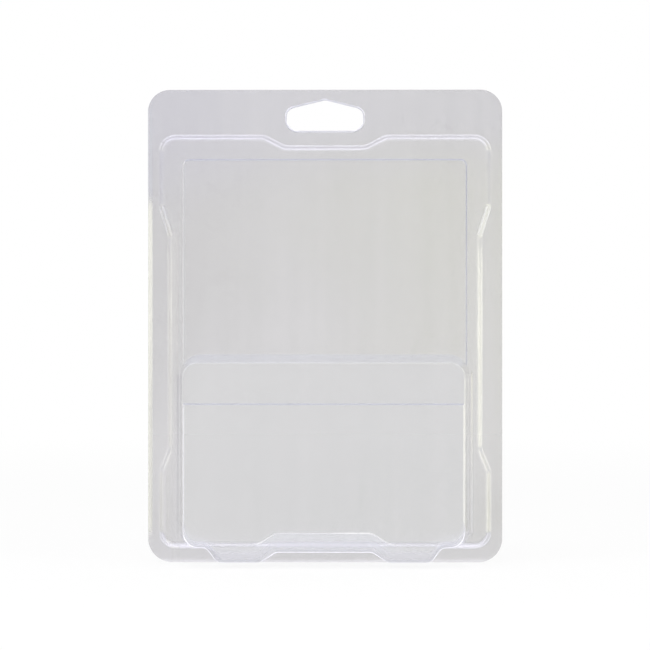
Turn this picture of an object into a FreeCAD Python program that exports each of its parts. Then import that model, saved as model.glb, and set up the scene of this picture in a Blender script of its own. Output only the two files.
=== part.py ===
"""Clear clamshell case for a card with a deep item on it.

The case is one sheet of clear film, thermoformed into a front half and a back half that stay joined
along a living hinge on the long left edge.  The front half carries a raised frame, a window panel and
a deep pocket with two standing feet.  The back half carries a shallow plug that fills the frame.

Front looks towards -Y, +Z is up, and the flanges of the two halves meet in the plane y = 0.  The
origin is the middle of the lower flange edge.  Lengths are millimetres, angles are degrees, and a
"depth" is how far something stands in front of the plane y = 0.
"""
import FreeCAD, Part
import math
import os

# ---------------------------------------------------------------- film and flange
SHEET = 0.4                 # thickness of the film
CASE_WIDTH = 147.0
CASE_HEIGHT = 196.0
TOP_CORNER = 9.0            # corner radii of the flange
BOTTOM_CORNER = 10.0
PARTING_GAP = 0.1           # air between the two closed flanges
BEND = 0.6                  # outer radius where a wall leaves the flange
FLANGE_BESIDE = 4.7         # width of the flange beside the frame and under it
FLANGE_BELOW = 5.9

# ---------------------------------------------------------------- hang slot
SLOT_WIDTH = 31.7
SLOT_SIDE = 8.7             # height of the slot at its ends
SLOT_ROOF = 3.9             # how much taller it is in the middle
SLOT_ABOVE = 4.4            # film left above the slot, and between it and the frame
SLOT_BELOW = 1.8
SLOT_BASE_ROUND = 4.6
SLOT_EAVES_ROUND = 3.6
SLOT_RIDGE_ROUND = 2.0

# ---------------------------------------------------------------- raised frame
FRAME_DEPTH = 5.5
FRAME_DRAFT = 15.0          # slope of the walls, for release from the mould
FRAME_EDGE = 1.1            # radius of the front edge
FRAME_CORNER = 6.8
WAIST = 3.6                 # how far the sides step in between the jogs
LOWER_JOG = 38.2            # height where the lower jog starts, and how tall it is
LOWER_JOG_TALL = 8.7
UPPER_JOG = 29.9            # how far under the frame's top the upper jog ends, and how tall it is
UPPER_JOG_TALL = 11.6
JOG_ROUND = 7.0
DIP = 4.4                   # how far the top edge drops under the hang slot
DIP_BESIDE = 0.7            # how much wider than the slot the dip is at each end
DIP_SLOPE = 8.5             # width of each slope beside the dip
DIP_ROUND = 5.0

# ---------------------------------------------------------------- window
WINDOW_BESIDE = 6.4         # frame left beside the window and above it
WINDOW_ABOVE = 5.8
WINDOW_STEP = 0.6           # how far the window stands in front of the panel
WINDOW_CORNER = 2.8

# ---------------------------------------------------------------- pocket
POCKET_DEPTH = 38.0
POCKET_DRAFT = 5.4          # slope of the side and top walls
FOOT_DRAFT = 3.0            # slope of the walls along the bottom
POCKET_BESIDE = 4.7         # frame left beside the pocket
POCKET_TOP = 86.8
POCKET_TOP_CORNER = 9.5     # at the panel; it tightens as the walls come in
POCKET_HEEL_CORNER = 6.5
POCKET_EDGE = 1.2           # radius of the front face's side and top edges
BAND_BOTTOM = 66.5          # the label band across the top of the front face lies a step back
BAND_STEP = 0.5

# The wave along the pocket's bottom: a heel at each side, two feet, and an arch between them.
HEEL_LEVEL = 6.6
HEEL_EDGE = 5.0             # radius of the front edge above it
HEEL_WIDTH = 12.6
HEEL_SLOPE = 4.5            # width of the slope between heel and sole
SOLE_LEVEL = 0.5
SOLE_EDGE = 8.0
SOLE_WIDTH = 17.4
ARCH_LEVEL = 4.6
ARCH_EDGE = 9.0
ARCH_SLOPE = 6.5            # width of the slope between sole and arch
WAVE_ROUND = 3.6

# ---------------------------------------------------------------- plug of the back half
PLUG_CLEARANCE = 0.3        # air between the plug's wall and the frame
CARD_SPACE = 1.0            # air between the plug and the front panel, for the card
PLUG_EDGE = 1.4             # radius of the plug's front edge

# ---------------------------------------------------------------- hinge
BEAD_RADIUS = 1.1           # the half-round bead on each side of the fold
BEAD_SETBACK = 1.0          # plain flange between the bead and the arc of the case's corner
FOLD = 0.05                 # how far each half's edge stays from the hinge axis

# ---------------------------------------------------------------- construction
ROUND_ANGLES = (15, 30, 45, 60, 66, 72, 80, 90)     # sections through the pocket's front round
MARGIN = 4.0                # how far a mould is wider than what is trimmed from it
MOULD_BACK = 3.0            # thickness of the mould's flat behind the film

HALF_GAP = PARTING_GAP / 2
HALF_CASE = CASE_WIDTH / 2
SLOT_RIDGE = CASE_HEIGHT - SLOT_ABOVE
SLOT_EAVES = SLOT_RIDGE - SLOT_ROOF
SLOT_BOTTOM = SLOT_EAVES - SLOT_SIDE
FRAME_TOP = SLOT_BOTTOM - SLOT_BELOW
FRAME_HALF_WIDTH = HALF_CASE - FLANGE_BESIDE
WAIST_HALF_WIDTH = FRAME_HALF_WIDTH - WAIST


def vec(x, depth, z):
    """A point at a depth in front of the parting plane."""
    return FreeCAD.Vector(x, -depth, z)


# ================================================================ outlines
# An outline is a list of (x, z, radius) corners, anticlockwise when seen from the front.
def mirrored(right_half):
    """A whole outline from its right half, given upwards."""
    return right_half + [(-x, z, r) for x, z, r in reversed(right_half)]


def outline(corners, depth):
    """The closed wire of straight runs and tangent arcs through rounded corners."""
    arcs = []
    for i, (x, z, radius) in enumerate(corners):
        before = corners[i - 1]
        after = corners[(i + 1) % len(corners)]
        back = FreeCAD.Vector(before[0] - x, 0, before[1] - z).normalize()
        ahead = FreeCAD.Vector(after[0] - x, 0, after[1] - z).normalize()
        half_angle = back.getAngle(ahead) / 2
        run = radius / math.tan(half_angle)
        inward = (back + ahead).normalize()
        corner = vec(x, depth, z)
        middle = corner + inward * (radius / math.sin(half_angle) - radius)
        arcs.append((corner + back * run, middle, corner + ahead * run))
    edges = []
    for i, (start, middle, end) in enumerate(arcs):
        next_start = arcs[(i + 1) % len(arcs)][0]
        edges.append(Part.Arc(start, middle, end).toShape())
        edges.append(Part.LineSegment(end, next_start).toShape())
    return Part.Wire(edges)


def inset(corners, distance):
    """The same outline moved inwards, with its arcs kept concentric."""
    moved = []
    for i, (x, z, radius) in enumerate(corners):
        before = corners[i - 1]
        after = corners[(i + 1) % len(corners)]
        arriving = FreeCAD.Vector(x - before[0], 0, z - before[1]).normalize()
        leaving = FreeCAD.Vector(after[0] - x, 0, after[1] - z).normalize()
        bulge = 1 if arriving.x * leaving.z > arriving.z * leaving.x else -1
        slide = -bulge * distance * math.tan(arriving.getAngle(leaving) / 2)
        new_x = x - arriving.z * distance + arriving.x * slide
        new_z = z + arriving.x * distance + arriving.z * slide
        moved.append((new_x, new_z, radius - bulge * distance))
    return moved


def plate(corners, back, front):
    """A flat plate of that outline between two depths."""
    face = Part.Face(outline(corners, back))
    return face.extrude(vec(0, front - back, 0))


def drafted(corners, back, front, draft):
    """A block of that outline at depth zero whose walls lean inwards towards the front."""
    slope = math.tan(math.radians(draft))
    wires = [outline(inset(corners, depth * slope), depth) for depth in (back, front)]
    return Part.makeLoft(wires, True, True)


def edges_at(shape, depth, reach=None):
    """The edges of a shape in the plane at that depth, within a distance of the y axis if given."""
    found = []
    for edge in shape.Edges:
        box = edge.BoundBox
        flat = abs(box.YMin + depth) < 1e-4 and abs(box.YMax + depth) < 1e-4
        if flat and (reach is None or max(-box.XMin, box.XMax) < reach):
            found.append(edge)
    return found


def flange_corners():
    """The outer edge of both halves."""
    return mirrored([(HALF_CASE, 0, BOTTOM_CORNER), (HALF_CASE, CASE_HEIGHT, TOP_CORNER)])


def frame_corners():
    """The foot of the frame's wall, with a waist in its sides and a dip in its top."""
    dip_end = SLOT_WIDTH / 2 + DIP_BESIDE
    return mirrored([
        (FRAME_HALF_WIDTH, FLANGE_BELOW, FRAME_CORNER),
        (FRAME_HALF_WIDTH, LOWER_JOG, JOG_ROUND),
        (WAIST_HALF_WIDTH, LOWER_JOG + LOWER_JOG_TALL, JOG_ROUND),
        (WAIST_HALF_WIDTH, FRAME_TOP - UPPER_JOG - UPPER_JOG_TALL, JOG_ROUND),
        (FRAME_HALF_WIDTH, FRAME_TOP - UPPER_JOG, JOG_ROUND),
        (FRAME_HALF_WIDTH, FRAME_TOP, FRAME_CORNER),
        (dip_end + DIP_SLOPE, FRAME_TOP, DIP_ROUND),
        (dip_end, FRAME_TOP - DIP, DIP_ROUND),
    ])


def slot_corners():
    """The hang slot: a low roof over a wide base with round ends."""
    half = SLOT_WIDTH / 2
    right = [(half, SLOT_BOTTOM, SLOT_BASE_ROUND), (half, SLOT_EAVES, SLOT_EAVES_ROUND)]
    left = [(-x, z, r) for x, z, r in reversed(right)]
    return right + [(0, SLOT_RIDGE, SLOT_RIDGE_ROUND)] + left


# ================================================================ moulds
# The film lies between two moulds.  Both are the same form, and in the second one every surface is
# moved back by the film's thickness.  That move is called "skin": 0 for the first mould and SHEET
# for the second.
def on_flat(block, face, skin):
    """Stands a block on the mould's flat, whose face is at that depth, and rounds the corner."""
    half = HALF_CASE + MARGIN
    corners = mirrored([(half, -MARGIN, MARGIN), (half, CASE_HEIGHT + MARGIN, MARGIN)])
    joined = plate(corners, face - MOULD_BACK, face).fuse(block)
    return joined.makeFillet(BEND + skin, edges_at(joined, face, HALF_CASE))


def front_face(skin):
    """Depth of the front half's flange on the mould."""
    return HALF_GAP + SHEET - skin


def back_face(skin):
    """Depth of the back half's flange on the mould."""
    return -HALF_GAP - skin


def frame_mould(skin):
    """The raised frame: a drafted block with a rounded front edge."""
    foot = inset(frame_corners(), skin / math.cos(math.radians(FRAME_DRAFT)))
    front = FRAME_DEPTH - skin
    block = drafted(foot, front_face(skin) - MOULD_BACK / 2, front, FRAME_DRAFT)
    block = block.makeFillet(FRAME_EDGE - skin, edges_at(block, front))
    return on_flat(block, front_face(skin), skin)


def window_mould(skin):
    """The window: a low step on the panel that runs down into the pocket."""
    side = WAIST_HALF_WIDTH - WINDOW_BESIDE
    top = FRAME_TOP - DIP - WINDOW_ABOVE
    sunk = POCKET_TOP - 2 * POCKET_TOP_CORNER
    foot = mirrored([(side, sunk, WINDOW_CORNER), (side, top, WINDOW_CORNER)])
    front = FRAME_DEPTH + WINDOW_STEP - skin
    wires = []
    for rise in (-WINDOW_STEP, WINDOW_STEP):
        wires.append(outline(inset(foot, rise), front - WINDOW_STEP + rise))
    return Part.makeLoft(wires, True, True)


def wall_shift(depth, skin, wall_draft, edge):
    """How far a pocket wall has come in at a depth: film, draft and the front edge's round."""
    draft = math.radians(wall_draft)
    shift = skin / math.cos(draft) + depth * math.tan(draft)
    radius = edge - skin
    into_round = depth - (POCKET_DEPTH - edge)
    if into_round > 0:
        shift += radius - math.sqrt(max(radius ** 2 - into_round ** 2, 0))
    return shift


def pocket_corners(depth, skin):
    """The pocket's section at a depth, with the wave along its bottom."""
    half = WAIST_HALF_WIDTH - POCKET_BESIDE
    shift = wall_shift(depth, skin, POCKET_DRAFT, POCKET_EDGE)
    side = half - shift
    top = POCKET_TOP - shift
    heel = HEEL_LEVEL + wall_shift(depth, skin, FOOT_DRAFT, HEEL_EDGE)
    sole = SOLE_LEVEL + wall_shift(depth, skin, FOOT_DRAFT, SOLE_EDGE)
    arch = ARCH_LEVEL + wall_shift(depth, skin, FOOT_DRAFT, ARCH_EDGE)
    inner_slope = math.atan2(ARCH_LEVEL - SOLE_LEVEL, ARCH_SLOPE)
    outer_slope = math.atan2(HEEL_LEVEL - SOLE_LEVEL, HEEL_SLOPE)
    heel_start = half - HEEL_WIDTH - skin * math.tan(outer_slope / 2)
    sole_end = heel_start - HEEL_SLOPE
    sole_start = half - HEEL_WIDTH - HEEL_SLOPE - SOLE_WIDTH + skin * math.tan(inner_slope / 2)
    arch_end = sole_start - ARCH_SLOPE
    return mirrored([
        (arch_end, arch, WAVE_ROUND + skin),
        (sole_start, sole, WAVE_ROUND - skin),
        (sole_end, sole, WAVE_ROUND - skin),
        (heel_start, heel, WAVE_ROUND + skin),
        (side, heel, POCKET_HEEL_CORNER - skin),
        (side, top, POCKET_TOP_CORNER - shift),
    ])


def band_cutter(skin):
    """What lies in front of the label band, above a lower edge that slants at 45 degrees."""
    back = POCKET_DEPTH - skin - BAND_STEP
    ahead = POCKET_DEPTH - skin + BAND_STEP
    low = BAND_BOTTOM + BAND_STEP / 2
    left = -CASE_WIDTH
    profile = Part.makePolygon([
        vec(left, back, low),
        vec(left, ahead, low - (ahead - back)),
        vec(left, ahead, CASE_HEIGHT),
        vec(left, back, CASE_HEIGHT),
        vec(left, back, low),
    ])
    return Part.Face(profile).extrude(FreeCAD.Vector(2 * CASE_WIDTH, 0, 0))


def pocket_mould(skin):
    """The pocket: drafted walls, then a smooth round into the front face."""
    largest = max(ARCH_EDGE, SOLE_EDGE, HEEL_EDGE, POCKET_EDGE)
    round_start = POCKET_DEPTH - largest
    foot = front_face(skin) - MOULD_BACK / 2
    stations = [round_start]
    for angle in ROUND_ANGLES:
        stations.append(round_start + (largest - skin) * math.sin(math.radians(angle)))
    walls = [outline(pocket_corners(depth, skin), depth) for depth in (foot, round_start)]
    nose = [outline(pocket_corners(depth, skin), depth) for depth in stations]
    block = Part.makeLoft(walls, True, True).fuse(Part.makeLoft(nose, True, False))
    return on_flat(block.cut(band_cutter(skin)), front_face(skin), skin)


def plug_mould(skin):
    """The plug: the frame's form, one clearance smaller and one card shallower."""
    smaller = (SHEET + PLUG_CLEARANCE + skin) / math.cos(math.radians(FRAME_DRAFT))
    front = FRAME_DEPTH - SHEET - CARD_SPACE - skin
    foot = inset(frame_corners(), smaller)
    block = drafted(foot, back_face(skin) - MOULD_BACK / 2, front, FRAME_DRAFT)
    block = block.makeFillet(PLUG_EDGE - skin, edges_at(block, front))
    return on_flat(block, back_face(skin), skin)


def bead(radius, depth):
    """The rod that forms a hinge bead, with round ends short of the case's corners."""
    x = BEAD_RADIUS - HALF_CASE
    low = BOTTOM_CORNER + BEAD_SETBACK + BEAD_RADIUS
    high = CASE_HEIGHT - TOP_CORNER - BEAD_SETBACK - BEAD_RADIUS
    rod = Part.makeCylinder(radius, high - low, vec(x, depth, low))
    for z in (low, high):
        rod = rod.fuse(Part.makeSphere(radius, vec(x, depth, z)))
    return rod


# ================================================================ the two halves
def film(outer, inner):
    """What lies between two moulds, trimmed at the flange's edge, the fold and the hang slot."""
    reach = 2 * POCKET_DEPTH
    trim = plate(flange_corners(), -reach, reach)
    trim = trim.cut(plate(slot_corners(), -reach, reach))
    trim = trim.cut(Part.makeBox(FOLD, 2 * reach, CASE_HEIGHT, vec(-HALF_CASE, reach, 0)))
    return outer.cut(inner).common(trim)


def front_shell():
    """Flange, frame, window, pocket and the front half of the hinge bead."""
    moulds = []
    for skin in (0.0, SHEET):
        mould = frame_mould(skin).fuse(window_mould(skin)).fuse(pocket_mould(skin))
        moulds.append(mould.fuse(bead(BEAD_RADIUS - skin, HALF_GAP)))
    return film(moulds[0], moulds[1])


def back_shell():
    """Flange, plug and the back half of the hinge bead."""
    moulds = []
    for skin in (0.0, SHEET):
        groove = bead(BEAD_RADIUS - SHEET + skin, -HALF_GAP)
        moulds.append(plug_mould(skin).cut(groove))
    return film(moulds[0], moulds[1])


def main():
    os.makedirs("parts", exist_ok=True)
    front_shell().exportStep("parts/front_shell.step")
    back_shell().exportStep("parts/back_shell.step")


if __name__ == "__main__":
    main()
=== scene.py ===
# %% [markdown]
# # A clear folding case for a carded item
#
# Clear plastic is hard to show, because most of what we see is whatever stands behind it.  What makes
# it readable is small: it takes away a little light, its bends shine, and its cut edges turn milky and
# catch the light.  Much of that is painted into the film's haze, as painted highlights, painted
# reflections and painted shade.
# This lesson starts from the case's two measured halves and gives them that finish.

# %% The measured case
import math

import bmesh
import bpy
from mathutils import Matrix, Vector


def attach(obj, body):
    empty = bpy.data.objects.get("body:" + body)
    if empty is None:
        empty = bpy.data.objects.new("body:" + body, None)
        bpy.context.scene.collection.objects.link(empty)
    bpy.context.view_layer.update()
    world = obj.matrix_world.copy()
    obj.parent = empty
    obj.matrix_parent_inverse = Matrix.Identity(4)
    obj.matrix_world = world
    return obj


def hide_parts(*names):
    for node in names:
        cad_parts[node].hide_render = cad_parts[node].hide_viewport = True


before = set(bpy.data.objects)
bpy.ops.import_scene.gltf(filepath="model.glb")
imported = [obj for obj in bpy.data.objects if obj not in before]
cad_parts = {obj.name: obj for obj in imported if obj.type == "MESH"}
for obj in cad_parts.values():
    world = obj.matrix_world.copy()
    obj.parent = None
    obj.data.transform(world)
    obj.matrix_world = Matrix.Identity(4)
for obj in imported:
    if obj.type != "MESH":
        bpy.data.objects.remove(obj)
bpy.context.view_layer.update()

MM = 0.001
print("Halves:", sorted(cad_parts))


# %% [markdown]
# ## Shader sums
#
# A material is a net of small nodes.  Each sum could be wired by hand, but wrapping a socket in a class
# with the usual arithmetic lets us write `1 - haze` and have the Math nodes made for us.

# %% Sums on sockets
class Value:
    """One output of a node, with arithmetic."""

    def __init__(self, recipe, socket):
        self.recipe, self.socket = recipe, socket

    def output(self, name):
        """Another output of the same node."""
        return Value(self.recipe, self.socket.node.outputs[name])

    def math(self, operation, first, second):
        return self.recipe.node("ShaderNodeMath", {"operation": operation}, {0: first, 1: second})

    def __abs__(self):
        return self.math("ABSOLUTE", self, 0.0)

    def __add__(self, other):
        return self.math("ADD", self, other)

    def __radd__(self, other):
        return self.math("ADD", other, self)

    def __sub__(self, other):
        return self.math("SUBTRACT", self, other)

    def __rsub__(self, other):
        return self.math("SUBTRACT", other, self)

    def __mul__(self, other):
        return self.math("MULTIPLY", self, other)

    def __rmul__(self, other):
        return self.math("MULTIPLY", other, self)

    def __truediv__(self, other):
        return self.math("DIVIDE", self, other)

    def __rtruediv__(self, other):
        return self.math("DIVIDE", other, self)


# %% [markdown]
# ## One method for every node
#
# Every other node comes from one method, which takes the node's type, its settings and what its sockets
# are given.  A few kinds of node are used so often that they get a short name of their own.

# %% Nodes
class Recipe:
    """The nodes of one material or of the room."""

    def __init__(self, owner):
        owner.use_nodes = True
        self.tree = owner.node_tree
        self.tree.nodes.clear()

    def node(self, kind, settings=None, sockets=None, output=0):
        made = self.tree.nodes.new(kind)
        for name, setting in (settings or {}).items():
            if name == "stops":
                self.set_stops(made.color_ramp.elements, setting)
            else:
                setattr(made, name, setting)
        for name, given in (sockets or {}).items():
            if isinstance(given, Value):
                self.tree.links.new(given.socket, made.inputs[name])
            else:
                made.inputs[name].default_value = given
        return Value(self, made.outputs[output]) if made.outputs else None

    @staticmethod
    def set_stops(elements, stops):
        while len(elements) < len(stops):
            elements.new(0.5)
        for element, (place, colour) in zip(elements, stops):
            element.position, element.color = place, colour

    def ramp(self, value, low, high):
        """0 below low, 1 above high, and smooth between."""
        settings = {"interpolation_type": "SMOOTHSTEP", "clamp": True}
        return self.node("ShaderNodeMapRange", settings,
                         {"Value": value, "From Min": low, "From Max": high})

    def stops(self, value, stops):
        """A colour for each value from 0 to 1."""
        return self.node("ShaderNodeValToRGB", {"stops": stops}, {0: value})

    def tint(self, share, first, second, blend="MIX"):
        """A colour mix: first at share 0 and second at share 1."""
        return self.node("ShaderNodeMix", {"data_type": "RGBA", "blend_type": blend},
                         {0: share, 6: first, 7: second}, 2)

    def mix(self, share, first, second):
        """A shader mix: first at share 0 and second at share 1."""
        return self.node("ShaderNodeMixShader", None, {0: share, 1: first, 2: second})

    def glow(self, colour):
        """Plain light of a colour, which nothing else in the room changes."""
        return self.node("ShaderNodeEmission", None, {"Color": colour, "Strength": 1.0})

    def finish(self, surface, kind="ShaderNodeOutputMaterial"):
        self.node(kind, None, {"Surface": surface})


# %% [markdown]
# ## The camera
#
# A long lens, level with the middle of the case and almost square to it, keeps the flange close to a
# true rectangle and still lets the deep pocket grow a little towards us.

# %% Camera
VIEW_WIDTH = 269.75 * MM        # what the camera takes in, at the flange
VIEW_DISTANCE = 1.27
VIEW_HEIGHT = 98.4 * MM
VIEW_ASIDE = 18 * MM            # the camera stands a little to the right
SENSOR = 36.0

lens = bpy.data.cameras.new("camera")
lens.sensor_width = SENSOR
lens.lens = SENSOR * VIEW_DISTANCE / VIEW_WIDTH
camera = bpy.data.objects.new("camera", lens)
camera.location = (VIEW_ASIDE, -VIEW_DISTANCE, VIEW_HEIGHT)
camera.rotation_euler = (math.radians(90), 0, math.atan2(VIEW_ASIDE, VIEW_DISTANCE))
bpy.context.collection.objects.link(camera)
bpy.context.scene.camera = camera
bpy.context.scene.view_settings.view_transform = "Standard"
print("Lens", round(lens.lens), "mm at", VIEW_DISTANCE, "m")


# %% [markdown]
# ## The room in a mirrored ray
#
# Film mirrors the room best at a shallow angle, so the room needs some shape.  A flat looks back past
# the camera, a step of 45 degrees looks sideways, and a steep wall looks on towards the backdrop, so
# one ramp from the camera's side to the backdrop's side sets how bright each of them is.  A second one
# gives each side its colour, and the ceiling is cooler.  Low on each side, towards the backdrop, stands
# a light box for the steep walls to mirror, and a dim strip runs above the boxes.

# %% Mirrored room
WHITE = (1, 1, 1, 1)
BESIDE_ROOM = 2.80              # how bright the room is straight to the sides
BESIDE_FLOOR = 1.90             # the same for the far floor
SIDE_COLOURS = [                # from the left to the right
    (0.00, (0.72, 0.72, 0.66, 1)), (0.12, (0.74, 0.74, 0.69, 1)), (0.24, (1.0, 0.99, 0.94, 1)),
    (0.46, WHITE), (0.70, (1.04, 1.04, 0.94, 1)), (1.00, (1.06, 1.07, 0.92, 1)),
]
CEILING = (0.99, 0.98, 1.10, 1)
CEILING_STARTS = (0.02, 0.30)   # the square of how steeply a ray rises
DIM_STRIP = (0.86, 0.86, 0.90, 1)
STRIP_STARTS = (0.010, 0.034)   # how steeply a ray rises
STRIP_ENDS = (0.08, 0.16)
STRIP_SIDEWAYS = (0.15, 0.35)
BOX_AHEAD = (0.30, 0.60)
BOX_SIDEWAYS = (0.25, 0.45)
RIGHT_BOX = 0.47                # how much light each box adds
LEFT_BOX = 0.12


def grey(level):
    return (level, level, level, 1)


def room_levels(beside):
    """How bright the room is, from the camera's side at 0 to the backdrop's side at 1."""
    return [
        (0.00, grey(0.62)), (0.06, grey(0.62)), (0.17, grey(beside)), (0.52, grey(beside)),
        (0.70, grey(1.10)), (0.93, grey(0.92)), (0.97, grey(0.96)), (1.00, grey(1.00)),
    ]


def mirrored_room(recipe, direction, beside, boxes=1.0):
    """The room's colour in a mirrored ray.  Y is -1 at the camera and 1 at the backdrop."""
    across = recipe.node("ShaderNodeSeparateXYZ", None, {0: direction})
    ahead, upright = across.output("Y"), across.output("Z")
    level = recipe.stops(ahead * 0.5 + 0.5, room_levels(beside))
    side_colour = recipe.stops(across * 0.5 + 0.5, SIDE_COLOURS)
    tone = recipe.tint(recipe.ramp(upright * upright, *CEILING_STARTS), side_colour, CEILING)
    colour = recipe.tint(1.0, level, tone, "MULTIPLY")
    above_boxes = recipe.ramp(upright, *STRIP_STARTS)
    strip = above_boxes * (1 - recipe.ramp(upright, *STRIP_ENDS))
    colour = recipe.tint(strip * recipe.ramp(abs(across), *STRIP_SIDEWAYS), colour, DIM_STRIP)
    at_boxes = (1 - above_boxes) * recipe.ramp(ahead, *BOX_AHEAD) * boxes
    right_box = at_boxes * recipe.ramp(across, *BOX_SIDEWAYS)
    left_box = at_boxes * recipe.ramp(0 - across, *BOX_SIDEWAYS)
    return recipe.node("ShaderNodeVectorMath", {"operation": "SCALE"}, {
        0: colour, "Scale": 1 + right_box * RIGHT_BOX + left_box * LEFT_BOX})


# %% [markdown]
# ## The room
#
# One plain white room would leave the film with no shape, and a shaped one would stain the background.
# Light Path tells the rays apart: what we look at straight stays plain white, mirrored rays see the
# shaped room, and the light that falls on things stays even.

# %% Room
EVEN_LIGHT = 0.72

room = bpy.data.worlds.new("room")
bpy.context.scene.world = room
walls = Recipe(room)
rays = walls.node("ShaderNodeLightPath")
straight = rays + rays.output("Is Transmission Ray")
even = walls.node("ShaderNodeBackground", None, {"Color": WHITE, "Strength": EVEN_LIGHT})
plain = walls.node("ShaderNodeBackground", None, {"Color": WHITE, "Strength": 1.0})
shaped = walls.node("ShaderNodeBackground", None, {
    "Color": mirrored_room(walls, walls.node("ShaderNodeTexCoord"), BESIDE_ROOM), "Strength": 1.0})
walls.finish(walls.mix(rays.output("Is Glossy Ray"), walls.mix(straight, even, plain), shaped),
             "ShaderNodeOutputWorld")
print("The room has", len(walls.tree.nodes), "nodes")


# %% [markdown]
# ## Lamps
#
# Even light has no direction, so three soft lamps add a little that does: warm from the right, and
# cool from the left and from above.  The film doesn't mirror them, because the shaped room already
# draws its bends.

# %% Lamps
MIDDLE = (0, 0, 100 * MM)


def soft_lamp(name, place, size, power, colour):
    """A square soft light aimed at the middle of the case, which the camera doesn't see."""
    light = bpy.data.lights.new(name, "AREA")
    light.size, light.energy, light.color = size, power, colour
    lamp = bpy.data.objects.new(name, light)
    lamp.location = place
    lamp.rotation_euler = (Vector(place) - Vector(MIDDLE)).to_track_quat("Z", "Y").to_euler()
    lamp.visible_camera = False
    lamp.visible_glossy = False
    bpy.context.collection.objects.link(lamp)


soft_lamp("right_lamp", (0.9, -0.9, 0.7), 0.5, 4.0, (1.0, 0.98, 0.93))
soft_lamp("left_lamp", (-0.9, -0.8, 0.6), 0.5, 3.0, (0.98, 0.98, 1.0))
soft_lamp("top_lamp", (-0.2, -0.5, 1.3), 0.6, 3.5, (0.96, 0.97, 1.0))


# %% [markdown]
# ## The floor
#
# The floor is a white sheet.  Most of what the camera gets from it is its own light, so that it meets
# the white room without a line, and the rest is lit paper, which takes the case's soft shadow.  A ray
# mirrored by the film sees other colours on it: near the case it is bright only in a narrow strip under
# the flange, and further away it follows the room.

# %% Floor
FLOOR_SIZE = 40.0
PAPER = (0.95, 0.95, 0.95, 1)
OWN_LIGHT = 0.85                # the share of its own light under the case, which grows to all of it
OWN_LIGHT_GROWS = (0.12, 1.50)
NEAR_REACH = 200 * MM           # how deep the strip of near colours is, from before the case to behind it
NEAR_COLOURS = [
    (0.00, (0.70, 0.70, 0.74, 1)), (0.40, (0.85, 0.85, 0.90, 1)), (0.45, (1.80, 1.78, 1.95, 1)),
    (0.55, (1.80, 1.78, 1.95, 1)), (0.62, (1.00, 1.00, 1.02, 1)), (1.00, (0.96, 0.96, 1.00, 1)),
]
NEAR_TO_FAR = (0.14, 0.26)      # how far from the case the near colours give way
BOXES_START = (0.6, 0.9)        # and how far from it the light boxes show

shape = bmesh.new()
bmesh.ops.create_grid(shape, x_segments=1, y_segments=1, size=FLOOR_SIZE / 2)
sheet = bpy.data.meshes.new("floor")
shape.to_mesh(sheet)
shape.free()
floor = bpy.data.objects.new("floor", sheet)
bpy.context.collection.objects.link(floor)

paper = bpy.data.materials.new("white_floor")
recipe = Recipe(paper)
lit = recipe.node("ShaderNodeBsdfPrincipled", None, {
    "Base Color": PAPER, "Roughness": 0.9, "Specular IOR Level": 0.0})
rays = recipe.node("ShaderNodeLightPath")
spot = recipe.node("ShaderNodeTexCoord").output("Object")
away = recipe.node("ShaderNodeVectorMath", {"operation": "LENGTH"}, {0: spot}, 1)
own_light = OWN_LIGHT + recipe.ramp(away, *OWN_LIGHT_GROWS) * (1 - OWN_LIGHT)
straight_floor = recipe.mix((rays + rays.output("Is Transmission Ray")) * own_light,
                            lit, recipe.glow(WHITE))
direction = recipe.node("ShaderNodeVectorMath", {"operation": "NORMALIZE"}, {0: spot})
far_colour = mirrored_room(recipe, direction, BESIDE_FLOOR, recipe.ramp(away, *BOXES_START))
floor_y = recipe.node("ShaderNodeSeparateXYZ", None, {0: spot}).output("Y")
near_colour = recipe.stops(floor_y / NEAR_REACH + 0.5, NEAR_COLOURS)
mirrored_floor = recipe.glow(recipe.tint(recipe.ramp(away, *NEAR_TO_FAR), near_colour, far_colour))
recipe.finish(recipe.mix(rays.output("Is Glossy Ray"), straight_floor, mirrored_floor))
sheet.materials.append(paper)
print("The floor is", FLOOR_SIZE, "m wide")


# %% [markdown]
# ## Clear film
#
# Glass could be made with refraction, but film this thin doesn't bend a view, and refraction would only
# slow the render.  So the film lets light straight through, with a little haze mixed in and a gloss on
# top.  Each half is a real skin 0.4 mm thick, so a look passes two faces of it.  The whole effect of
# the skin is counted on the face that looks towards us, and the face behind it only lets light through.
# A skin mirrors by Fresnel's law twice, once at each face, which adds up to 2F / (1 + F).

# %% What every finish of the film shares
FILM_INDEX = 1.55
FACE_TINT = (0.930, 0.927, 0.932, 1)    # what one face lets through
HAZE_ROUGHNESS = 0.6
GLOSS_ROUGHNESS = 0.08
WAVES, WAVE_HEIGHT = 0.2, 0.003         # the sheet isn't quite flat, so its gloss wavers
CLOUD_SCALE, CLOUD_DETAIL = 14.0, 2.0
STREAK_SCALE = (160.0, 160.0, 4.0)      # fine across the sheet and long along it
SCRATCH_SCALE, SCRATCH_DETAIL = 46.0, 6.0
WARM_FROM_LEFT = (-60, 60)              # the haze is warmer to the right, less so high up and low down
WARM_CLOUD = 0.10                       # how far the clouds shift that, in metres
WARM_ENDS, WARM_TOP = (150, 184), 0.75
WARM_STARTS, WARM_FOOT = (10, 90), 0.45


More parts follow.
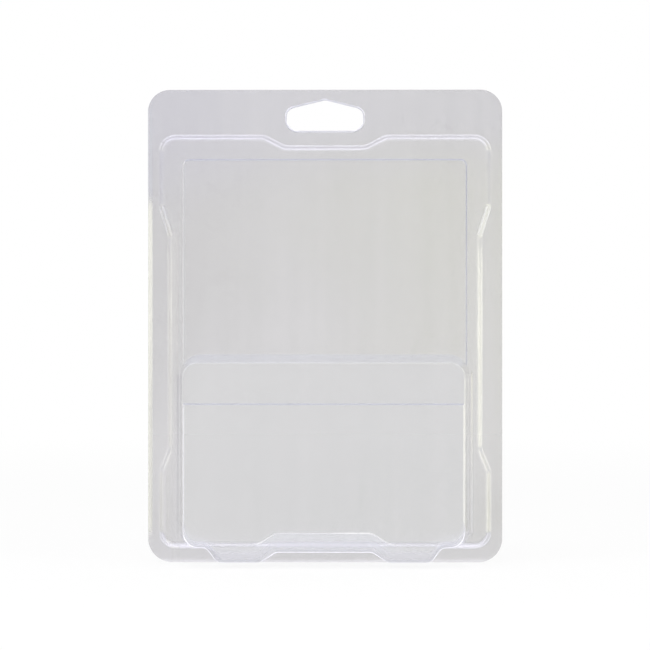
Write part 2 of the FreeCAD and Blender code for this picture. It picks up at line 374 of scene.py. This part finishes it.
class Film(Recipe):
    """The parts that every finish of the film is made from."""

    def __init__(self, name):
        self.material = bpy.data.materials.new(name)
        super().__init__(self.material)
        self.place = self.node("ShaderNodeTexCoord").output("Object")
        self.x = self.node("ShaderNodeSeparateXYZ", None, {0: self.place})
        self.y, self.z = self.x.output("Y"), self.x.output("Z")
        self.normal_x = self.node("ShaderNodeSeparateXYZ", None, {
            0: self.node("ShaderNodeTexCoord").output("Normal")})
        self.normal_z = self.normal_x.output("Z")
        self.lean = 1 - abs(self.normal_x.output("Y"))
        self.facing = 1 - self.node("ShaderNodeNewGeometry").output("Backfacing")
        fresnel = self.node("ShaderNodeFresnel", None, {"IOR": FILM_INDEX})
        self.sheen = 2 * fresnel / (1 + fresnel) * self.facing
        self.cloud = self.noise(self.place, CLOUD_SCALE, CLOUD_DETAIL)
        drawn = self.node("ShaderNodeMapping", None, {"Vector": self.place, "Scale": STREAK_SCALE})
        self.streak = self.noise(drawn, 1.0, CLOUD_DETAIL)
        self.scratch = self.noise(self.place, SCRATCH_SCALE, SCRATCH_DETAIL)
        self.warmth = self.rise(self.x + (self.cloud - 0.5) * WARM_CLOUD, WARM_FROM_LEFT) * (
            1 - self.rise(self.z, WARM_ENDS) * WARM_TOP) * (
            WARM_FOOT + self.rise(self.z, WARM_STARTS) * (1 - WARM_FOOT))

    def noise(self, place, scale, detail):
        return self.node("ShaderNodeTexNoise", None, {
            "Vector": place, "Scale": scale, "Detail": detail})

    def rise(self, value, ends):
        """0 below the first of two places in millimetres, and 1 above the second."""
        return self.ramp(value, ends[0] * MM, ends[1] * MM)

    def fall(self, value, ends):
        """1 below the first of two places in millimetres, and 0 above the second."""
        return 1 - self.rise(value, ends)

    def film(self, density, colour, sheen):
        """Clear sheet with haze of that density and colour in it, under a gloss."""
        clear = self.node("ShaderNodeBsdfTransparent", None, {"Color": FACE_TINT})
        haze = self.node("ShaderNodeBsdfPrincipled", None, {
            "Base Color": colour, "Roughness": HAZE_ROUGHNESS, "Specular IOR Level": 0.0})
        waves = self.node("ShaderNodeBump", None, {
            "Height": self.cloud, "Strength": WAVES, "Distance": WAVE_HEIGHT})
        gloss = self.node("ShaderNodeBsdfAnisotropic", None, {
            "Color": WHITE, "Roughness": GLOSS_ROUGHNESS, "Normal": waves})
        self.finish(self.mix(sheen, self.mix(density * self.facing, clear, haze), gloss))
        return self.material


# %% [markdown]
# ## Where the film differs
#
# Each place of the film has its own mark, and most of them are painted light.  The walls are denser
# where we look along them, and carry a painted reflection, lavender on the top wall and painted shade at
# the sides.  The bends are pale, partly as whitening where the hot sheet was stretched and partly as a
# painted highlight, and the pocket's underside is painted pale as a reflection of the floor.  Painted
# maps could hold such marks, but they follow from where a spot is and which way it faces, so they are
# worked out from those.  Each mark is a value that is about 1 in its place and 0 away from it.  Places
# are in millimetres, and a pair of them says where a mark starts to change and where it has changed.

# %% Walls and bends
BEND_STARTS, BEND_ENDS = (0.03, 0.18), (0.50, 0.68)     # how far a face leans from the flat
WALL_STARTS = (0.84, 0.88)
TOP_FACES_UP = (0.4, 0.8)
UNDER_FACES_DOWN = (0.03, 0.10)
UNDER_FIRST = (-37.98, -37.75)                          # the painted pale of the underside comes in two stages behind the front
UNDER_SECOND = (-37.7, -36.9)
BROW = (35.5, 36.5)                                     # how far before the flange
NOSE = (30, 34)
ARCH_TOP, ARCH_DROP = 14.55, 4.5                        # the line where the front turns under
ARCH_SLOPES, ARCH_ENDS = (18, 28), (26, 30)             # how far from the middle
ARCH_UNDER, ARCH_MILK = (-0.1, 0.1), 0.8
ARCH_LINE, ARCH_PATCHES = (0.15, 0.40), (0.45, 0.62)    # its painted highlight is narrow, with painted glints in patches


def mark_slopes(film):
    """Marks the bends, the steep walls and the underside by the way that the film faces."""
    film.half_way = abs(film.x)
    film.bend = film.ramp(film.lean, *BEND_STARTS) * (1 - film.ramp(film.lean, *BEND_ENDS))
    # the underside is painted pale, as a reflection of the floor that it faces
    film.underside = film.ramp(0 - film.normal_z, *UNDER_FACES_DOWN) * (
        film.rise(film.y, UNDER_FIRST) * 0.5 + film.rise(film.y, UNDER_SECOND) * 0.5)
    pocket_wall = film.ramp(film.lean, *WALL_STARTS) * (1 - film.underside)
    film.top_wall = pocket_wall * film.ramp(film.normal_z, *TOP_FACES_UP)
    film.side_wall = pocket_wall - film.top_wall


def mark_arch(film):
    """Marks the line of the arch between the feet as a painted highlight with painted glints, adds what is
    under it to the underside's painted pale, and marks the painted highlight on the pocket's front edges.
    """
    arch_line = ARCH_TOP * MM - film.rise(film.half_way, ARCH_SLOPES) * (ARCH_DROP * MM)
    under_line = arch_line - film.z
    on_nose = film.rise(0 - film.y, NOSE) * film.fall(film.half_way, ARCH_ENDS)
    under_arch = film.rise(under_line, ARCH_UNDER) * on_nose
    film.underside = film.underside + under_arch * (1 - film.underside) * ARCH_MILK
    film.arch_edge = film.fall(abs(under_line), ARCH_LINE) * on_nose * (
        film.ramp(film.scratch, *ARCH_PATCHES) + 0.5)
    # a painted highlight on the bends of the pocket's front edges
    film.brow = film.bend * film.rise(0 - film.y, BROW) * (1 - film.underside)


# %% Pocket, streaks and scratches
FOOT_INNER = (60.2, 60.5)               # the foot of the pocket's side walls, on the panel, with a painted highlight on the right and painted shade on the left
RIGHT_FOOT_OUTER = (60.9, 61.3)
LEFT_FOOT_OUTER = (61.1, 61.5)
BY_PANEL = (-6.4, -6.0)
FOOT_LOW, FOOT_HIGH = (10, 14), (76, 80)
POCKET_LOW, POCKET_HIGH, POCKET_SIDE = (5, 8), (80, 88), (55, 60)
STREAKS_LEFT, STREAKS_RIGHT, STREAKS_TOP = (-66.0, -65.4), (-60.8, -60.0), (130, 150)
STREAK_LINES = (0.36, 0.56)
SCRATCH_WIDTH, SCRATCH_PATCHES = (0.001, 0.004), (0.52, 0.60)
LEFT_FADES, LEFT_STARTS = (-70, -15), (35, 85)
LOWER_STARTS, LOWER_ENDS = (14, 40), (84, 120)


def mark_pocket(film):
    """Marks the pocket, and the feet of its side walls: a painted highlight on the right and painted shade
    on the left.
    """
    by_panel = film.rise(film.y, BY_PANEL) * film.rise(film.z, FOOT_LOW) * film.fall(film.z, FOOT_HIGH)
    film.right_foot = film.rise(film.x, FOOT_INNER) * film.fall(film.x, RIGHT_FOOT_OUTER) * by_panel
    film.left_foot = film.rise(0 - film.x, FOOT_INNER) * film.fall(0 - film.x, LEFT_FOOT_OUTER) * by_panel
    film.at_pocket = film.rise(film.z, POCKET_LOW) * film.fall(film.z, POCKET_HIGH) * (
        film.fall(film.half_way, POCKET_SIDE))


def mark_sheet(film):
    """Marks pale streaks on a strip left of the pocket, the scratches, and where the haze is thicker or
    thinner.
    """
    film.streaks = film.rise(film.x, STREAKS_LEFT) * film.fall(film.x, STREAKS_RIGHT) * (
        film.fall(film.z, STREAKS_TOP)) * film.ramp(film.streak, *STREAK_LINES)
    film.scratches = (1 - film.ramp(abs(film.scratch - 0.5), *SCRATCH_WIDTH)) * (
        film.ramp(film.cloud, *SCRATCH_PATCHES))
    film.left = film.fall(film.x, LEFT_FADES) * (1 - film.at_pocket) * film.rise(film.z, LEFT_STARTS)
    film.lower = film.rise(film.z, LOWER_STARTS) * film.fall(film.z, LOWER_ENDS) * (1 - film.at_pocket)


# %% [markdown]
# ## The clear finish
#
# The haze's density is a sum of small shares, one for each mark, and its colour moves from mark to mark
# by the same values.  Most marks are painted light: the pale ones are painted highlights and painted
# reflections, and the walls carry painted reflection and painted shade.  Pale marks share one density,
# so that their colour can be weighed against the rest of the haze.

# %% Clear finish
MILK = 0.08                             # how dense the haze is on a flat
HIGH_STARTS = (140, 175)                # where it gets a little denser, and where it turns bluer
BLUE_STARTS = (135, 180)
EDGE_ON_STARTS = (0.70, 0.92)
EDGE_ON_LEAST = 0.15
LEFT_HAZE = (0.34, 0.33, 0.33, 1)
HIGH_HAZE = (0.31, 0.30, 0.46, 1)
WARM_HAZE = (0.36, 0.38, 0.14, 1)
POCKET_HAZE = (0.44, 0.50, 0.46, 1)
# COOL_BEND and WARM_BEND colour the painted highlights at the bends and the other pale marks, warmer to
# the right
COOL_BEND = (0.86, 0.87, 0.99, 1)
WARM_BEND = (0.97, 0.96, 0.88, 1)
# the painted highlight along the arch's edge
ARCH_WHITE = (0.97, 0.97, 0.96, 1)
# the painted reflection on the pocket's top wall, and the painted shade on its side walls and by its left
# foot
TOP_WALL = (0.58, 0.61, 0.74, 1)
SIDE_WALL = (0.30, 0.30, 0.36, 1)


def flat_haze(film):
    """The density of the haze on a flat."""
    return (MILK + film.left * 0.04 + film.rise(film.z, HIGH_STARTS) * 0.008
            - film.at_pocket * 0.024 - film.lower * 0.022 + (film.cloud - 0.5) * 0.07
            + (film.streak - 0.5) * 0.05 + film.scratches * 0.05)


def pale_haze(film):
    """The density of the pale marks: painted highlights at the bends, the right foot, the front edges and
    the arch, and the underside's painted pale; at the bends it is partly whitening of the stretched sheet,
    and pale streaks are added.
    """
    return (film.bend * 0.06 + film.right_foot * 0.50 + film.brow * 0.25 + film.underside * 0.20
            + film.arch_edge * 0.45 + film.streaks * 0.07)


def wall_haze(film):
    """The density of the walls' painted reflection and painted shade, which show most where we look along
    them.
    """
    leaning = film.node("ShaderNodeLayerWeight", None, {"Blend": 0.5}).output("Facing")
    edge_on = EDGE_ON_LEAST + (1 - EDGE_ON_LEAST) * film.ramp(leaning, *EDGE_ON_STARTS)
    return (film.top_wall * 0.30 + film.side_wall * 0.12) * edge_on


def haze_colour(film, pale_share):
    """The colour of the haze, from the sheet's own to each mark's, most of which are painted highlights,
    painted reflections and painted shade.
    """
    colour = film.tint(film.rise(film.z, BLUE_STARTS), LEFT_HAZE, HIGH_HAZE)
    colour = film.tint(film.warmth, colour, WARM_HAZE)
    colour = film.tint(film.at_pocket, colour, POCKET_HAZE)
    pale = film.tint(film.warmth * (1 - film.underside) + film.streaks, COOL_BEND, WARM_BEND)
    colour = film.tint(pale_share, colour, pale)
    colour = film.tint(film.arch_edge * 0.7, colour, ARCH_WHITE)
    colour = film.tint(film.left_foot * 0.8, colour, SIDE_WALL)
    colour = film.tint(film.top_wall, colour, TOP_WALL)
    return film.tint(film.side_wall, colour, SIDE_WALL)


def clear_finish(name):
    """The film of the flats, the bends and the walls."""
    film = Film(name)
    mark_slopes(film)
    mark_arch(film)
    mark_pocket(film)
    mark_sheet(film)
    pale = pale_haze(film)
    density = flat_haze(film) + pale + wall_haze(film) + film.left_foot * 0.04
    sheen = film.sheen * (1 - 0.5 * (film.top_wall + film.side_wall))
    return film.film(density, haze_colour(film, pale / density), sheen)


clear_film = clear_finish("clear_film")
print("The clear finish has", len(clear_film.node_tree.nodes), "nodes")


# %% [markdown]
# ## Three small finishes
#
# The shallow steps at 45 degrees mirror what is beside the case, which is dim, so they are painted dark
# as a painted reflection, and painted grey where they face left.  The hinge is painted cream, a painted
# reflection of the light that its round catches.  The hang slot is punched out, and the punch leaves its
# edge milky, which is painted brighter still as the highlight that a cut edge catches.  The steps and
# the hinge could be pieces of their own, but the sheet is one, so they are finishes on some of its faces.

# %% Steps, hinge and slot
STEP_FACES_LEFT = (0.3, 0.6)
# the painted reflection on the steps: dark, and grey where they face left
STEP_DARK = (0.16, 0.20, 0.38, 1)
STEP_GREY = (0.66, 0.67, 0.68, 1)
# where the hinge carries its painted reflection, and the colour of that painted reflection
WORN_STARTS, WORN_ENDS = (8, 16), (146, 157)
FOLD_WHITE = (0.93, 0.93, 0.84, 1)
FOLD_CLEAR = (0.30, 0.32, 0.46, 1)


def step_finish(name):
    """The steps round the window and along the band, painted dark as a reflection of the dim room."""
    film = Film(name)
    left = film.ramp(0 - film.normal_x, *STEP_FACES_LEFT)
    density = 0.34 + (film.cloud - 0.5) * 0.10
    return film.film(density, film.tint(left, STEP_DARK, STEP_GREY), film.sheen * 0.3)


def fold_finish(name):
    """The hinge: painted cream as a reflection of the light that its round catches, and clearer at its
    ends.
    """
    film = Film(name)
    from_foot = film.rise(film.z, WORN_STARTS)
    foot = 1 - from_foot
    worn = from_foot * film.fall(film.z, WORN_ENDS)
    colour = film.tint(worn + foot * 0.8, FOLD_CLEAR, FOLD_WHITE)
    density = 0.12 + worn * 0.27 - foot * 0.04 + (film.streak - 0.5) * 0.16
    return film.film(density, colour, film.sheen * 0.25)


def lip_finish(name):
    """The punched edge of the hang slot: milky, and painted bright as the highlight that a cut edge
    catches.
    """
    film = Film(name)
    density = 0.55 + (film.cloud - 0.5) * 0.20
    return film.film(density, film.tint(film.warmth, COOL_BEND, WARM_BEND), film.sheen)


step_film = step_finish("step_film")
lip_film = lip_finish("lip_film")
fold_film = fold_finish("fold_film")
print("Finishes:", [m.name for m in bpy.data.materials if m.name.endswith("_film")])


# %% [markdown]
# ## The two halves
#
# The measured halves arrive as loose triangles, and each corner remembers the true slope of the curved
# surface that it was cut from.  A copy with its corners merged is one closed skin.  The true slopes are
# noted before the merge and given back after it, so every bend mirrors the room without facets.

# %% Which finish a face gets
FINISHES = (clear_film, step_film, fold_film)
CLEAR, STEP, FOLD = range(3)
STEP_LOOK = (0.68, 0.74)        # how squarely a 45-degree step looks ahead
FOLD_EDGE = -71.6 * MM
WINDOW_REACH = 59.6 * MM
WINDOW_TOP = 168.6 * MM
WINDOW_FOOT = 88.5 * MM
BAND_STEP = (64.5 * MM, 67.5 * MM)


def finish_of(face):
    """The hinge, a shallow step round the window or along the band, or plain clear film."""
    middle = face.calc_center_median()
    if middle.x < FOLD_EDGE:
        return FOLD
    if not STEP_LOOK[0] < abs(face.normal.y) < STEP_LOOK[1] or abs(middle.x) > WINDOW_REACH:
        return CLEAR
    by_window = WINDOW_FOOT < middle.z < WINDOW_TOP
    by_band = BAND_STEP[0] < middle.z < BAND_STEP[1]
    return STEP if by_window or by_band else CLEAR


# %% A piece
def add_piece(shape, piece_name, body, finishes):
    """Makes a mesh a piece that rides on a body."""
    mesh = bpy.data.meshes.new(piece_name)
    shape.to_mesh(mesh)
    shape.free()
    mesh.attributes.remove(mesh.attributes["custom_normal"])
    for finish in finishes:
        mesh.materials.append(finish)
    piece = bpy.data.objects.new(piece_name, mesh)
    bpy.context.collection.objects.link(piece)
    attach(piece, body)
    return piece


# %% Halves
MERGE = 0.002 * MM
WILD = 0.3                      # a slope that turns further than this from its triangle is a slip


def dress(node_name, piece_name, body):
    """A smooth-shaded copy of a measured half that stands for it."""
    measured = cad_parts[node_name].data
    shape = bmesh.new()
    shape.from_mesh(measured)
    slope = shape.loops.layers.float_vector.new("slope")
    for face in shape.faces:
        for corner in face.loops:
            true_slope = measured.corner_normals[corner.index].vector
            corner[slope] = true_slope if true_slope.dot(face.normal) > WILD else face.normal
    bmesh.ops.remove_doubles(shape, verts=shape.verts, dist=MERGE)
    for face in shape.faces:
        face.smooth = True
        face.material_index = finish_of(face)
    for edge in shape.edges:
        edge.smooth = True
    open_edges = sum(1 for edge in shape.edges if len(edge.link_faces) != 2)
    piece = add_piece(shape, piece_name, body, FINISHES)
    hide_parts(node_name)
    mesh = piece.data
    mesh.normals_split_custom_set([corner.vector for corner in mesh.attributes["slope"].data])
    mesh.attributes.remove(mesh.attributes["slope"])
    print(piece_name, len(mesh.polygons), "triangles,", open_edges, "open edges")


dress("front_shell", "front_half", "front")
dress("back_shell", "back_half", "back")


# %% [markdown]
# ## The punched edge
#
# A punch squeezes the film as it cuts, so the rim of the hang slot swells a hair and turns milky, and its
# milky colour is also a painted highlight for the light that a cut edge catches.  A bevel would need the
# slot's outline again, so the cut faces of each half are copied instead and given a width outwards,
# which makes a thin ring in the film.

# %% Slot lips
SLOT_REACH = 17 * MM
SLOT_LOW, SLOT_HIGH = 176 * MM, 194 * MM
CUT_LOOK = 0.2                  # a cut face looks less than this to the front or the back
LIP_WIDTH = 0.8 * MM
LIP_SWELL = 0.03 * MM


def is_cut(face):
    """True for the faces that the punch left round the hang slot."""
    return abs(face.normal.y) <= CUT_LOOK and all(
        abs(v.co.x) <= SLOT_REACH and SLOT_LOW < v.co.z < SLOT_HIGH for v in face.verts)


def slot_lip(node_name, piece_name, body, outward):
    """A ring round the hang slot of one half; outward is the side that swells, -1 or 1."""
    shape = bmesh.new()
    shape.from_mesh(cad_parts[node_name].data)
    bmesh.ops.remove_doubles(shape, verts=shape.verts, dist=MERGE)
    other = [face for face in shape.faces if not is_cut(face)]
    bmesh.ops.delete(shape, geom=other, context="FACES")
    middle = sum(v.co.y for v in shape.verts) / len(shape.verts)
    for vertex in shape.verts:
        if (vertex.co.y - middle) * outward > 0:
            vertex.co.y += outward * LIP_SWELL
    piece = add_piece(shape, piece_name, body, [lip_film])
    ring = piece.modifiers.new("width", "SOLIDIFY")
    ring.thickness, ring.offset, ring.use_even_offset = LIP_WIDTH, -1.0, True
    print(piece_name, len(piece.data.polygons), "cut faces")


slot_lip("front_shell", "front_slot_lip", "front", -1)
slot_lip("back_shell", "back_slot_lip", "back", 1)
